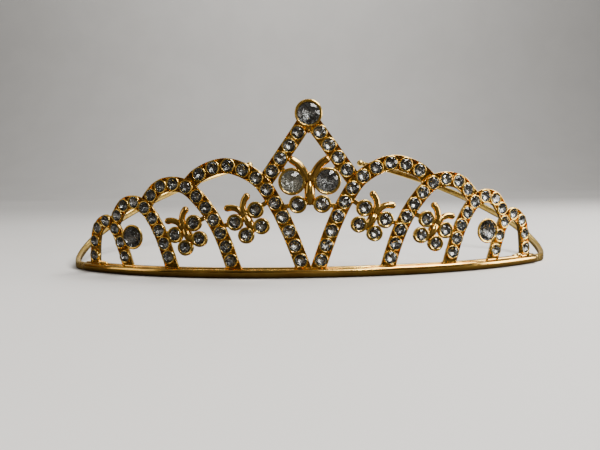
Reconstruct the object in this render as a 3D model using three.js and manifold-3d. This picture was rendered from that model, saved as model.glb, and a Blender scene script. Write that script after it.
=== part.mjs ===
// Headband tiara: a gold-plated face of four arches a side, set with clear stones, on two sprung legs.
// Millimetres, +Z up, the front faces -Y, origin in the middle of the base bar's flat underside.
//
// The face is drawn flat, across (x), deep (y, front negative) and high (z), and then bent round
// the head about an upright axis. The headband legs are drawn where they lie.
import * as THREE from 'three';
import { mergeVertices } from 'three/addons/utils/BufferGeometryUtils.js';
import Module from 'manifold-3d';

const wasm = await Module();
wasm.setup();

const MERGE_DISTANCE = 1e-5; // corners of a mesh that are nearer than this are one

// ---- driving dimensions -------------------------------------------------------------------
const BEND_RADIUS = 175; // of the face at its middle
const BEND_TIGHTENING = 0.000096; // how much the curvature grows for each mm from the middle

const BAR_HALF_LENGTH = 66.6; // along the bend
const BAR_HEIGHT = 2.6;
const BAR_STEPS = 36;
const BAR_SECTION = [ // y, z: flat back and underside, half-round front, lip along the top
  [0.9, 0], [-0.5, 0], [-1.15, 0.4], [-1.4, 1.15], [-1.2, 1.85], [-0.6, 2.3],
  [-0.3, BAR_HEIGHT], [0.9, BAR_HEIGHT],
];

const BAND_BACK = 0.6;
const BAND_FRONT = -0.8;
const BAND_DRAFT = 0.5; // how much narrower a band is at its back, on each side
const DRAFT_START = -0.3; // in front of this its sides are straight
const RIM = 0.24; // width of the rims along a band's channel
const CHANNEL_FLOOR = -0.1;
const GAP = 0.25; // between neighbouring pieces
const CUTTER_DEPTH = 4; // how far a cutting solid reaches in front of the face and behind it
const BEYOND = 80; // across, past the ends of the face

const STONE = 1.5; // radius of a small stone
const END_STONE = 1.42; // of those in the end arches and the side butterflies' lower wings
const BIG_STONE = 2.75; // of the peak, drop and upper centre stones
const STONE_BACK = -0.3;
const STONE_SIDES = 8;
const STONE_TABLE = 0.58; // of the radius
const STONE_RISE = [0.35, 0.43]; // height of a flat-backed stone: a fixed part and a share of its radius
const GIRDLE = -0.6; // where a pointed stone is widest
const CROWN_RISE = [0.12, 0.34]; // from the girdle to the table, as above
const CULET = -0.2;
const GLUE_HALF = 0.4; // half width of the bed of glue under a row of stones
const GLUE_FRONT = -0.5;
const GLUE_BACK = -0.22;
const SETTING_WALL = 0.5; // from a stone's edge to the outside of its cup
const SETTING_BACK = 0.5;
const SETTING_FRONT = -0.9;
const SETTING_DOME = 0.45; // the rounding of a cup's back edge
const SETTING_SIDES = 10;
const SEAT_PLAY = 0.12;
const FOOT_START = 1.6; // the height at which an arch's path begins, inside the bar

// Each arch springs from the bar, leans outward, rounds over, and lands on the next arch.
// The points are its centre line, x and z; the last arch comes back down to the bar.
const ARCHES = [
  {
    stones: 11, stone: STONE, half: 1.9, lead: 2.95, tail: 4.25,
    line: [[1.5, FOOT_START], [5.2, 11.6], [8.5, 18.6], [12.9, 24.7], [20.4, 28], [27.3, 26.1], [30.6, 23.3]],
  },
  {
    stones: 10, stone: STONE, half: 1.9, lead: 3.05, tail: 4.1,
    line: [[18.9, FOOT_START], [22.3, 11.2], [26.2, 18], [31.1, 22.9], [34.8, 23.8], [38.5, 23.1],
      [41.2, 20.9], [43.6, 17.8]],
  },
  {
    stones: 8, stone: STONE, half: 1.85, lead: 3.75, tail: 3.35,
    line: [[35.5, FOOT_START], [39.1, 11.8], [43.2, 17.8], [46.7, 19.3], [50, 18.5], [52.4, 15.8],
      [54.2, 13]],
  },
  {
    stones: 7, stone: END_STONE, half: 1.75, lead: 3.5, tail: 3.1,
    line: [[49.1, FOOT_START], [53.6, 12.6], [56.8, 14.3], [60.4, 12], [61.5, 8.6], [62.2, FOOT_START]],
  },
];

const PEAK = { x: 0, z: 40.15 }; // the middle of the top stone
const PEAK_BAR = {
  stones: 4, stone: STONE, half: 1.9, lead: 3.8, tail: 4, line: [[0.45, 38.65], [11.4, 23.1]],
};

const SIDE_TILT = 30; // degrees that a side butterfly's head leans outward
const SIDE_BUTTERFLY = {
  upper: { across: 3, down: 0, stone: STONE },
  lower: { across: 2.25, down: 4.2, stone: END_STONE },
  body: { width: 2.2, top: 1.3, bottom: -4 },
  feeler: [[0.2, 0.2], [0.7, 2.3], [1.8, 3.5], [2.85, 4]],
  feelerRadius: 0.66,
};
const CENTRE_BUTTERFLY = {
  upper: { across: 4.3, down: 0, stone: BIG_STONE },
  lower: { across: 3, down: 5.6, stone: 1.6 },
  body: { width: 2.5, top: 1.5, bottom: -6 },
  feeler: [[0.35, 0.2], [0.95, 1.6], [1.85, 3.1], [2.9, 4.3], [4.1, 5.1]],
  feelerRadius: 0.8,
};
const BODY_DEPTH = 0.75; // half the depth of a butterfly's body
const BODY_MIDDLE = -0.2;
const BODY_SIDES = 8;
const BODY_RINGS = 6;
const BULB = 0.16; // how much thicker a feeler's tip is
const BULB_SHARE = 1 / 4; // the part of a feeler's length that it swells over
const FEELER_SIDES = 5;
const FEELER_STEPS = 6;
const BUTTERFLIES = [ // a tab ties a wing to the arch beside it: [wing, direction across, direction up]
  {
    name: 'centre', x: 0, z: 23.8, tilt: 0, make: CENTRE_BUTTERFLY,
    tabs: [['lower', -1, -0.16], ['lower', 1, -0.16]],
  },
  {
    name: '1', x: 16, z: 15.5, tilt: SIDE_TILT, make: SIDE_BUTTERFLY,
    tabs: [['upper', -0.83, 0.55], ['upper', 0.96, -0.28]],
  },
  {
    name: '2', x: 32, z: 12.4, tilt: SIDE_TILT, make: SIDE_BUTTERFLY,
    tabs: [['upper', -0.91, 0.41], ['upper', 0.99, 0.12]],
  },
];
const WEB_REACH = 0.6; // of the way from the body to a wing's cup
const TAB_LENGTH = 3.9;
const TAB_WIDTH = 1.1;
const TAB_FRONT = -0.25;
const TAB_BACK = 0.4;

const DROP = { x: 47.4, z: 10.2, stone: BIG_STONE, tab: 4.3 }; // the big stone beside each end arch

const LUG = { start: 66.85, end: 68.2, height: 2.3, depth: 2.2, foot: 0.05 }; // along the bend, past the bar
const LEG_START = 68.55;
const LEG_PLAN = [ // x, y
  [68.2, 21.3], [70.8, 28], [71.5, 37], [70.6, 45], [68.3, 52.5], [62.4, 66], [55.4, 77.5],
  [47.6, 88], [39.4, 97], [27.8, 107],
];
const LEG_HEIGHT = 2.2;
const LEG_THICKNESS = 1.3;
const LEG_RISE = { from: 20, ease: 6, slope: 0.4 }; // the legs lie level, then climb towards the back
const LEG_STEPS = 26;
const LEG_SIDES = 8;
const TIP_RADIUS = 1.6;
const TIP_SIDES = 10;
const TIP_RINGS = 7;

const GOLD = { color: 0xc9922e, roughness: 0.2, metalness: 1 };
const CRYSTAL = { color: 0xd5dde2, roughness: 0.05, metalness: 0 };

// ---- solids -------------------------------------------------------------------------------
function toSolid(geometry) {
  const bare = geometry.clone();
  bare.deleteAttribute('normal');
  bare.deleteAttribute('uv');
  const merged = mergeVertices(bare, MERGE_DISTANCE);
  const position = merged.getAttribute('position');
  return new wasm.Manifold(new wasm.Mesh({
    numProp: 3,
    vertProperties: new Float32Array(position.array),
    triVerts: new Uint32Array(merged.getIndex().array),
  }));
}

function toGeometry(solid) {
  const { vertProperties, triVerts } = solid.getMesh();
  const geometry = new THREE.BufferGeometry();
  geometry.setAttribute('position', new THREE.BufferAttribute(new Float32Array(vertProperties), 3));
  geometry.setIndex(new THREE.BufferAttribute(new Uint32Array(triVerts), 1));
  return geometry;
}

// A closed skin over a row of rings, each ring an array of Vector3 of the same length.
function skin(rings, outline) {
  const count = outline.length;
  const positions = rings.flat().flatMap((point) => point.toArray());
  const triangles = [];
  for (let ring = 0; ring < rings.length - 1; ring += 1) {
    for (let side = 0; side < count; side += 1) {
      const a = ring * count + side;
      const b = ring * count + ((side + 1) % count);
      triangles.push(a, b, a + count, b, b + count, a + count);
    }
  }
  const last = (rings.length - 1) * count;
  const area = THREE.ShapeUtils.area;
  for (const cap of THREE.ShapeUtils.triangulateShape(outline, [])) {
    const sameWay = area(outline) > 0 === area(cap.map((index) => outline[index])) > 0;
    const [a, b, c] = sameWay ? cap : cap.toReversed();
    triangles.push(c, b, a, a + last, b + last, c + last);
  }
  const geometry = new THREE.BufferGeometry();
  geometry.setAttribute('position', new THREE.Float32BufferAttribute(positions, 3));
  geometry.setIndex(triangles);
  return facingOut(geometry);
}

function facingOut(geometry) {
  const index = geometry.getIndex().array;
  const position = geometry.getAttribute('position');
  const corner = [0, 1, 2].map(() => new THREE.Vector3());
  let volume = 0;
  for (let at = 0; at < index.length; at += 3) {
    corner.forEach((point, k) => point.fromBufferAttribute(position, index[at + k]));
    volume += corner[0].dot(corner[1].clone().cross(corner[2]));
  }
  if (volume < 0) {
    for (let at = 0; at < index.length; at += 3) {
      [index[at + 1], index[at + 2]] = [index[at + 2], index[at + 1]];
    }
  }
  return geometry;
}

// ---- the flat face ------------------------------------------------------------------------
const flat = (x, z, y = 0) => new THREE.Vector3(x, y, z);

function flatCurve(points) {
  return new THREE.CatmullRomCurve3(points.map(([x, z]) => flat(x, z)), false, 'centripetal');
}

// Sweeps a section, [across, deep] points, along a curve in the flat face.
function sweepFlat(curve, steps, section, grow = () => 1) {
  const rings = [];
  for (let step = 0; step <= steps; step += 1) {
    const middle = curve.getPointAt(step / steps);
    const along = curve.getTangentAt(step / steps);
    const across = new THREE.Vector3(-along.z, 0, along.x);
    const size = grow(step / steps);
    const lift = (y) => flat(0, 0, y * size);
    rings.push(section.map(([a, y]) => middle.clone().addScaledVector(across, a * size).add(lift(y))));
  }
  return skin(rings, section.map(([a, y]) => new THREE.Vector2(a, y)));
}

const boxSection = (half, front, back) => [[-half, back], [-half, front], [half, front], [half, back]];

// A band's section: a channel between two rims, with sides that draw in towards the back.
function channelSection(half) {
  const back = half - BAND_DRAFT;
  const channel = half - RIM;
  return [
    [-back, BAND_BACK], [-half, DRAFT_START], [-half, BAND_FRONT], [-channel, BAND_FRONT],
    [-channel, CHANNEL_FLOOR], [channel, CHANNEL_FLOOR],
    [channel, BAND_FRONT], [half, BAND_FRONT], [half, DRAFT_START], [back, BAND_BACK],
  ];
}

const roundSection = (sides) => Array.from({ length: sides }, (_, side) => {
  const angle = (2 * Math.PI * side) / sides;
  return [Math.cos(angle), Math.sin(angle)];
});

const stepsOf = (band) => 2 * band.stones;

function bandSolid(band) {
  return toSolid(sweepFlat(flatCurve(band.line), stepsOf(band), channelSection(band.half)));
}

// The room that a band takes up, with the gap round it, for cutting its neighbours.
function bandRoom(band) {
  const section = boxSection(band.half + GAP, -CUTTER_DEPTH, CUTTER_DEPTH);
  return toSolid(sweepFlat(flatCurve(band.line), stepsOf(band), section));
}

function block(xFrom, xTo, zFrom, zTo) {
  const box = new THREE.BoxGeometry(xTo - xFrom, 2 * CUTTER_DEPTH, zTo - zFrom);
  return toSolid(box.translate((xFrom + xTo) / 2, 0, (zFrom + zTo) / 2));
}

// A solid of revolution about a front-to-back axis: the profile is [radius, deep] points.
function turned(profile, sides, x, z) {
  const points = profile.map(([radius, y]) => new THREE.Vector2(radius, y));
  const lathe = new THREE.LatheGeometry(points, sides);
  return toSolid(facingOut(mergeVertices(stripped(lathe), MERGE_DISTANCE)).translate(x, 0, z));
}

function stripped(geometry) {
  geometry.deleteAttribute('normal');
  geometry.deleteAttribute('uv');
  return geometry;
}

const rise = ([fixed, share], radius) => fixed + share * radius;

// A flat-backed stone, as the bands hold.
function stoneSolid(radius, x, z) {
  const table = STONE_BACK - rise(STONE_RISE, radius);
  const profile = [[0, STONE_BACK], [radius, STONE_BACK], [radius * STONE_TABLE, table], [0, table]];
  return turned(profile, STONE_SIDES, x, z);
}

// A stone with a blunt point behind, which goes down into its cup.
function pointedSolid(radius, x, z) {
  const table = GIRDLE - rise(CROWN_RISE, radius);
  const profile = [
    [0, CULET], [radius / 2, CULET - SEAT_PLAY], [radius, GIRDLE], [radius * STONE_TABLE, table], [0, table],
  ];
  return turned(profile, STONE_SIDES, x, z);
}

function cupSolid(stone, x, z) {
  const outside = stone + SETTING_WALL;
  const seat = stone + SEAT_PLAY;
  const profile = [
    [0, SETTING_BACK], [outside - SETTING_DOME, SETTING_BACK], [outside, SETTING_BACK - SETTING_DOME],
    [outside, SETTING_FRONT], [seat, SETTING_FRONT], [seat, CHANNEL_FLOOR], [0, CHANNEL_FLOOR],
  ];
  return turned(profile, SETTING_SIDES, x, z);
}

// ---- bending ------------------------------------------------------------------------------
const BEND_PIECES = 24; // that the run is summed over

const bendAngle = (run) => run / BEND_RADIUS + (BEND_TIGHTENING * run * run) / 2;

function bendPoint(point) {
  const run = Math.abs(point.x);
  const side = Math.sign(point.x) || 1;
  let across = 0;
  let back = 0;
  for (let piece = 0; piece < BEND_PIECES; piece += 1) {
    const angle = bendAngle((run * (piece + 0.5)) / BEND_PIECES);
    across += (Math.cos(angle) * run) / BEND_PIECES;
    back += (Math.sin(angle) * run) / BEND_PIECES;
  }
  const angle = bendAngle(run);
  return new THREE.Vector3(
    side * (across - point.y * Math.sin(angle)),
    back + point.y * Math.cos(angle),
    point.z,
  );
}

function bent(geometry) {
  const position = geometry.getAttribute('position');
  const point = new THREE.Vector3();
  for (let at = 0; at < position.count; at += 1) {
    point.fromBufferAttribute(position, at);
    position.setXYZ(at, ...bendPoint(point).toArray());
  }
  return geometry;
}

function mirrored(geometry) {
  const copy = geometry.clone();
  copy.scale(-1, 1, 1);
  return facingOut(copy);
}

// ---- assembly -----------------------------------------------------------------------------
const tiara = new THREE.Group();

function place(name, geometry, finish) {
  const mesh = new THREE.Mesh(geometry, new THREE.MeshStandardMaterial(finish));
  mesh.name = name;
  tiara.add(mesh);
}

// A right-hand piece and its mirror image; the name holds SIDE where left or right goes.
function placePair(name, geometry, finish) {
  place(name.replace('SIDE', 'right'), geometry, finish);
  place(name.replace('SIDE', 'left'), mirrored(geometry), finish);
}

function addBaseBar() {
  const rings = [];
  for (let step = 0; step <= BAR_STEPS; step += 1) {
    const x = BAR_HALF_LENGTH * ((2 * step) / BAR_STEPS - 1);
    rings.push(BAR_SECTION.map(([y, z]) => flat(x, z, y)));
  }
  const bar = skin(rings, BAR_SECTION.map(([y, z]) => new THREE.Vector2(y, z)));
  place('base_bar', bent(bar), GOLD);
}

// The stones of a band are held in one line by the thin bed of glue that they are set in.
function stoneRow(band) {
  const curve = flatCurve(band.line);
  const length = curve.getLength();
  const pitch = (length - band.lead - band.tail) / (band.stones - 1);
  const places = Array.from({ length: band.stones }, (_, stone) => (band.lead + stone * pitch) / length);
  const centres = places.map((share) => curve.getPointAt(share));
  const glueLine = new THREE.CatmullRomCurve3(centres, false, 'centripetal');
  const glue = sweepFlat(glueLine, band.stones - 1, boxSection(GLUE_HALF, GLUE_FRONT, GLUE_BACK));
  return centres.reduce((row, { x, z }) => row.add(stoneSolid(band.stone, x, z)), toSolid(glue));
}

const PEAK_TOP = 60; // above the whole face
const barRoom = block(-BEYOND, BEYOND, -CUTTER_DEPTH, BAR_HEIGHT + GAP);
const otherSide = block(-BEYOND, GAP / 2, -CUTTER_DEPTH, PEAK_TOP);
const rooms = ARCHES.map(bandRoom);

function addArches() {
  ARCHES.forEach((arch, index) => {
    let band = bandSolid(arch).subtract(barRoom).subtract(otherSide);
    if (index + 1 < ARCHES.length) {
      band = band.subtract(rooms[index + 1]);
    }
    placePair(`arch_SIDE_${index + 1}`, bent(toGeometry(band)), GOLD);
    placePair(`stones_arch_SIDE_${index + 1}`, bent(toGeometry(stoneRow(arch))), CRYSTAL);
  });
}

function addPeak() {
  const around = BIG_STONE + SETTING_WALL + GAP;
  const profile = [[0, -CUTTER_DEPTH], [around, -CUTTER_DEPTH], [around, CUTTER_DEPTH], [0, CUTTER_DEPTH]];
  const cupRoom = turned(profile, SETTING_SIDES, PEAK.x, PEAK.z);
  const bar = bandSolid(PEAK_BAR).subtract(otherSide).subtract(cupRoom).subtract(rooms[0]);
  placePair('peak_bar_SIDE', bent(toGeometry(bar)), GOLD);
  placePair('stones_peak_SIDE', bent(toGeometry(stoneRow(PEAK_BAR))), CRYSTAL);
  place('peak_setting', bent(toGeometry(cupSolid(BIG_STONE, PEAK.x, PEAK.z))), GOLD);
  place('stone_peak', bent(toGeometry(pointedSolid(BIG_STONE, PEAK.x, PEAK.z))), CRYSTAL);
}

// A flat strip at the back of the casting from one point to another, x and z.
function strip(from, to) {
  const curve = new THREE.LineCurve3(flat(...from), flat(...to));
  return toSolid(sweepFlat(curve, 1, boxSection(TAB_WIDTH / 2, TAB_FRONT, TAB_BACK)));
}

// Turns a butterfly's own coordinates, across and along its body, into the face's x and z.
function butterflyPlace({ x, z, tilt }) {
  const lean = THREE.MathUtils.degToRad(tilt);
  return (across, along) => [
    x + across * Math.cos(lean) + along * Math.sin(lean),
    z - across * Math.sin(lean) + along * Math.cos(lean),
  ];
}

function butterflyWings({ make }) {
  return ['upper', 'lower'].flatMap((wing) => [-1, 1].map((side) => {
    const { across, down, stone } = make[wing];
    return { wing, side, across: side * across, along: -down, stone };
  }));
}

function bodySolid({ make, tilt }, toFace) {
  const { width, top, bottom } = make.body;
  const sphere = new THREE.SphereGeometry(1, BODY_SIDES, BODY_RINGS);
  sphere.scale(width / 2, BODY_DEPTH, (top - bottom) / 2);
  sphere.rotateY(THREE.MathUtils.degToRad(tilt));
  const [x, z] = toFace(0, (top + bottom) / 2);
  return toSolid(sphere.translate(x, BODY_MIDDLE, z));
}

function feelerSolid({ make }, toFace, side) {
  const curve = flatCurve(make.feeler.map(([across, along]) => toFace(side * across, along)));
  const swell = (t) => Math.max(0, (t - 1 + BULB_SHARE) / BULB_SHARE);
  const thickness = (t) => make.feelerRadius + BULB * swell(t);
  return toSolid(sweepFlat(curve, FEELER_STEPS, roundSection(FEELER_SIDES), thickness));
}

function butterflySolid(butterfly) {
  const toFace = butterflyPlace(butterfly);
  let solid = bodySolid(butterfly, toFace);
  for (const side of [-1, 1]) {
    solid = solid.add(feelerSolid(butterfly, toFace, side));
  }
  for (const { across, along, stone } of butterflyWings(butterfly)) {
    solid = solid.add(cupSolid(stone, ...toFace(across, along)));
    solid = solid.add(strip(toFace(0, along * WEB_REACH), toFace(across * WEB_REACH, along)));
  }
  for (const [wing, dx, dz] of butterfly.tabs) {
    const { across, down } = butterfly.make[wing];
    const [x, z] = toFace(Math.sign(dx) * across, -down);
    const near = butterfly.make[wing].stone + GAP;
    solid = solid.add(strip([x + dx * near, z + dz * near], [x + dx * TAB_LENGTH, z + dz * TAB_LENGTH]));
  }
  const neighbours = butterfly.x === 0 ? [rooms[0]] : rooms;
  return neighbours.reduce((rest, room) => rest.subtract(room), solid);
}

function mirrorSolid(solid) {
  return solid.mirror([1, 0, 0]);
}

function addButterflies() {
  for (const butterfly of BUTTERFLIES) {
    const toFace = butterflyPlace(butterfly);
    const isCentre = butterfly.x === 0;
    let solid = butterflySolid(butterfly);
    if (isCentre) {
      solid = solid.subtract(mirrorSolid(rooms[0]));
      place('butterfly_centre', bent(toGeometry(solid)), GOLD);
    } else {
      placePair(`butterfly_SIDE_${butterfly.name}`, bent(toGeometry(solid)), GOLD);
    }
    for (const { wing, side, across, along, stone } of butterflyWings(butterfly)) {
      const gem = bent(toGeometry(pointedSolid(stone, ...toFace(across, along))));
      if (isCentre) {
        place(`stone_centre_${wing}_${side < 0 ? 'left' : 'right'}`, gem, CRYSTAL);
      } else {
        placePair(`stone_SIDE_${butterfly.name}_${wing}_${side < 0 ? 'inner' : 'outer'}`, gem, CRYSTAL);
      }
    }
  }
}

function addDrops() {
  const tab = strip([DROP.x + DROP.stone, DROP.z], [DROP.x + DROP.tab, DROP.z]);
  const setting = cupSolid(DROP.stone, DROP.x, DROP.z).add(tab).subtract(rooms[3]);
  placePair('drop_setting_SIDE', bent(toGeometry(setting)), GOLD);
  placePair('stone_drop_SIDE', bent(toGeometry(pointedSolid(DROP.stone, DROP.x, DROP.z))), CRYSTAL);
}

const legRise = (y) => {
  const run = Math.max(0, y - LEG_RISE.from);
  return LEG_RISE.slope * (Math.hypot(run, LEG_RISE.ease) - LEG_RISE.ease);
};

function legCurve() {
  const start = bendPoint(flat(LEG_START, 0));
  const points = [[start.x, start.y], ...LEG_PLAN];
  return new THREE.CatmullRomCurve3(
    points.map(([x, y]) => new THREE.Vector3(x, y, LEG_HEIGHT / 2 + legRise(y))), false, 'centripetal',
  );
}

function addHeadband() {
  const lug = new THREE.BoxGeometry(LUG.end - LUG.start, LUG.depth, LUG.height);
  lug.translate((LUG.start + LUG.end) / 2, 0, LUG.height / 2 + LUG.foot);
  placePair('lug_SIDE', bent(toGeometry(toSolid(lug))), GOLD);

  const curve = legCurve();
  const up = new THREE.Vector3(0, 0, 1);
  const section = roundSection(LEG_SIDES);
  const rings = [];
  for (let step = 0; step <= LEG_STEPS; step += 1) {
    const middle = curve.getPointAt(step / LEG_STEPS);
    const along = curve.getTangentAt(step / LEG_STEPS);
    const outward = along.clone().cross(up).normalize();
    const upward = outward.clone().cross(along).normalize();
    rings.push(section.map(([a, b]) => middle.clone()
      .addScaledVector(outward, (a * LEG_THICKNESS) / 2)
      .addScaledVector(upward, (b * LEG_HEIGHT) / 2)));
  }
  placePair('headband_SIDE', skin(rings, section.map(([a, b]) => new THREE.Vector2(a, b))), GOLD);

  const ball = new THREE.SphereGeometry(TIP_RADIUS, TIP_SIDES, TIP_RINGS);
  const centre = curve.getPointAt(1).addScaledVector(curve.getTangentAt(1), TIP_RADIUS + GAP);
  placePair('tip_ball_SIDE', toGeometry(toSolid(ball.translate(...centre.toArray()))), GOLD);
}

addBaseBar();
addArches();
addPeak();
addButterflies();
addDrops();
addHeadband();

export default tiara;
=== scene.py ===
"""Looks of the headband tiara: gold-plated castings, foil-backed stones, spring wire and solder.

The face is drawn flat in millimetres, (x across, y deep with the front negative, z up), and is then
bent round the head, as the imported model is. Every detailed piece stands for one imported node.
"""
import math

import bmesh
import bpy
import numpy as np
from mathutils import Matrix, Vector, noise


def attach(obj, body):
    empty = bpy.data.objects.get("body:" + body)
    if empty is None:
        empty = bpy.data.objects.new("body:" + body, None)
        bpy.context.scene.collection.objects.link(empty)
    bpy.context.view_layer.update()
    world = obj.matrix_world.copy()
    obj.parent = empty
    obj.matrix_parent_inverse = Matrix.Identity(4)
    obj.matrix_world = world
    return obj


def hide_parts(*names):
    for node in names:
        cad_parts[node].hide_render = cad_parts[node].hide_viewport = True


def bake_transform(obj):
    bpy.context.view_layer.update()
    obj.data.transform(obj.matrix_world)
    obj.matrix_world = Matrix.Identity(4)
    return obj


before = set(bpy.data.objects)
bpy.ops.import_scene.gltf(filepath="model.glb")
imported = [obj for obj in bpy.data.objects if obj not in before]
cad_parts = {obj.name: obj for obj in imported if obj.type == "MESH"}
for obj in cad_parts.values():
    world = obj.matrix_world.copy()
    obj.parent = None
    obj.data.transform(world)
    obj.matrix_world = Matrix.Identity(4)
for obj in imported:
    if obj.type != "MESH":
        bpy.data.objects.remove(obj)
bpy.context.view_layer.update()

MM = 0.001

# ---- dimensions of the face, millimetres ----------------------------------------------------
BEND_RADIUS = 175.0
BEND_TIGHTENING = 0.000096
BAR_HALF_LENGTH = 66.6
BAR_HEIGHT = 2.6
BAND_BACK = 0.6
BAND_DRAFT = 0.5
DRAFT_START = -0.3
RIM_FRONT = -0.8
FLOOR_FRONT = -0.25
STONE = 1.5
END_STONE = 1.44
BIG_STONE = 2.75
FOOT_START = 1.6

ARCHES = [
    dict(stones=11, stone=STONE, half=1.9, lead=2.95, tail=4.25,
         line=[(1.5, FOOT_START), (5.2, 11.6), (8.5, 18.6), (12.9, 24.7), (20.4, 28), (27.3, 26.1),
               (30.6, 23.3)]),
    dict(stones=10, stone=STONE, half=1.9, lead=3.05, tail=4.1,
         line=[(18.9, FOOT_START), (22.3, 11.2), (26.2, 18), (31.1, 22.9), (34.8, 23.8), (38.5, 23.1),
               (41.2, 20.9), (43.6, 17.8)]),
    dict(stones=8, stone=STONE, half=1.85, lead=3.75, tail=3.35,
         line=[(35.5, FOOT_START), (39.1, 11.8), (43.2, 17.8), (46.7, 19.3), (50, 18.5), (52.4, 15.8),
               (54.2, 13)]),
    dict(stones=7, stone=END_STONE, half=1.75, lead=3.5, tail=3.1,
         line=[(49.1, FOOT_START), (53.6, 12.6), (56.8, 14.3), (60.4, 12), (61.5, 8.6), (62.2, FOOT_START)]),
]
PEAK = (0.0, 40.15)
PEAK_BAR = dict(stones=4, stone=STONE, half=1.9, lead=3.8, tail=4, line=[(0.45, 38.65), (11.4, 23.1)])

SIDE_BUTTERFLY = dict(
    upper=(3.0, 0.0, STONE), lower=(2.25, -4.2, END_STONE), body=(2.3, 1.3, -4.1), plate=1.1,
    feeler=[(0.2, 0.2), (0.7, 2.3), (1.8, 3.5), (2.85, 4.0)], feeler_radius=0.82, bulb=0.08)
CENTRE_BUTTERFLY = dict(
    upper=(4.3, 0.0, BIG_STONE), lower=(3.0, -5.6, 1.6), body=(2.6, 1.5, -6.0), plate=1.35,
    feeler=[(0.35, 0.2), (0.95, 1.6), (1.85, 3.1), (2.9, 4.3), (4.2, 5.2)], feeler_radius=0.98, bulb=0.0)
SIDE_TILT = math.radians(30)
BUTTERFLIES = [
    dict(name="centre", x=0.0, z=23.8, tilt=0.0, make=CENTRE_BUTTERFLY,
         tabs=[("lower", -1, -0.16), ("lower", 1, -0.16), ("upper", -0.6, 0.8), ("upper", 0.6, 0.8)]),
    dict(name="1", x=16.0, z=15.5, tilt=SIDE_TILT, make=SIDE_BUTTERFLY,
         tabs=[("upper", -0.83, 0.55), ("upper", 0.96, -0.28)]),
    dict(name="2", x=32.0, z=12.4, tilt=SIDE_TILT, make=SIDE_BUTTERFLY,
         tabs=[("upper", -0.91, 0.41), ("upper", 0.99, 0.12)]),
]
TAB_LENGTH = 3.6
DROP = (47.4, 10.2)

LEG_START = 68.55
LEG_PLAN = [(68.2, 21.3), (70.8, 28), (71.5, 37), (70.6, 45), (68.3, 52.5), (62.4, 66), (55.4, 77.5),
            (47.6, 88), (39.4, 97), (27.8, 107)]
LEG_HEIGHT = 2.2
LEG_THICKNESS = 1.3
LEG_RISE = dict(start=20.0, ease=6.0, slope=0.4)
TIP_RADIUS = 1.6
TIP_GAP = 0.25
BEAD_RUN = 59.9
LUG_HEIGHT = 1.22
LEG_STEPS = 220

SIDES = {"right": 1, "left": -1}


# ---- bending --------------------------------------------------------------------------------
_run = np.linspace(0, 76, 3801)
_angle = _run / BEND_RADIUS + BEND_TIGHTENING * _run ** 2 / 2
_step = _run[1] - _run[0]


def _summed(values):
    return np.concatenate([[0.0], np.cumsum((values[1:] + values[:-1]) / 2) * _step])


_across = _summed(np.cos(_angle))
_back = _summed(np.sin(_angle))


def bend(points):
    """Flat face points, millimetres, to points of the bent face."""
    points = np.atleast_2d(np.asarray(points, float))
    run = np.abs(points[:, 0])
    side = np.where(points[:, 0] < 0, -1.0, 1.0)
    angle = np.interp(run, _run, _angle)
    across = np.interp(run, _run, _across) - points[:, 1] * np.sin(angle)
    back = np.interp(run, _run, _back) + points[:, 1] * np.cos(angle)
    return np.stack([side * across, back, points[:, 2]], 1)


# ---- curves and sections --------------------------------------------------------------------
class Path:
    """A smooth centripetal curve through points, walked by its length."""

    def __init__(self, points, fine=60):
        points = [np.asarray(p, float) for p in points]
        ends = [2 * points[0] - points[1]] + points + [2 * points[-1] - points[-2]]
        spots = []
        for k in range(len(points) - 1):
            spots += self._span(ends[k:k + 4], fine)
        self.spots = np.array(spots + [points[-1]])
        steps = np.linalg.norm(np.diff(self.spots, axis=0), axis=1)
        self.walked = np.concatenate([[0], np.cumsum(steps)])
        self.length = self.walked[-1]

    @staticmethod
    def _span(four, fine):
        a, b, c, d = four
        ab, bc, cd = (max(np.linalg.norm(q - p) ** 0.5, 1e-4) for p, q in ((a, b), (b, c), (c, d)))
        start = ((b - a) / ab - (c - a) / (ab + bc) + (c - b) / bc) * bc
        end = ((c - b) / bc - (d - b) / (bc + cd) + (d - c) / cd) * bc
        spots = []
        for t in np.linspace(0, 1, fine, endpoint=False):
            spots.append((2 * t ** 3 - 3 * t ** 2 + 1) * b + (t ** 3 - 2 * t ** 2 + t) * start
                         + (3 * t ** 2 - 2 * t ** 3) * c + (t ** 3 - t ** 2) * end)
        return spots

    def at(self, walked):
        return np.array([np.interp(walked, self.walked, column) for column in self.spots.T])

    def along(self, walked):
        nudge = 0.02
        way = self.at(min(walked + nudge, self.length)) - self.at(max(walked - nudge, 0))
        return way / np.linalg.norm(way)


def rounded(corners, smooth=3):
    """A closed outline with its corners rounded; each corner is (a, b, radius)."""
    outline = []
    count = len(corners)
    for k, (a, b, radius) in enumerate(corners):
        here = np.array([a, b], float)
        before = np.array(corners[k - 1][:2], float) - here
        after = np.array(corners[(k + 1) % count][:2], float) - here
        reach = min(radius, 0.45 * np.linalg.norm(before), 0.45 * np.linalg.norm(after))
        first = here + before / np.linalg.norm(before) * reach
        last = here + after / np.linalg.norm(after) * reach
        for t in np.linspace(0, 1, smooth + 1):
            outline.append((1 - t) ** 2 * first + 2 * t * (1 - t) * here + t ** 2 * last)
    return np.array(outline)


def circle(radius, sides):
    turn = np.linspace(0, 2 * math.pi, sides, endpoint=False)
    return np.stack([radius * np.cos(turn), radius * np.sin(turn)], 1)


def band_section(half):
    """A channel between two thin rims, with sides that draw in towards the back."""
    side = [(half - BAND_DRAFT, BAND_BACK, 0.3), (half, DRAFT_START, 0.3), (half, RIM_FRONT, 0.1),
            (half - 0.22, RIM_FRONT, 0.1), (half - 0.36, FLOOR_FRONT, 0.12)]
    return rounded([(-a, y, r) for a, y, r in side] + side[::-1])


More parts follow.
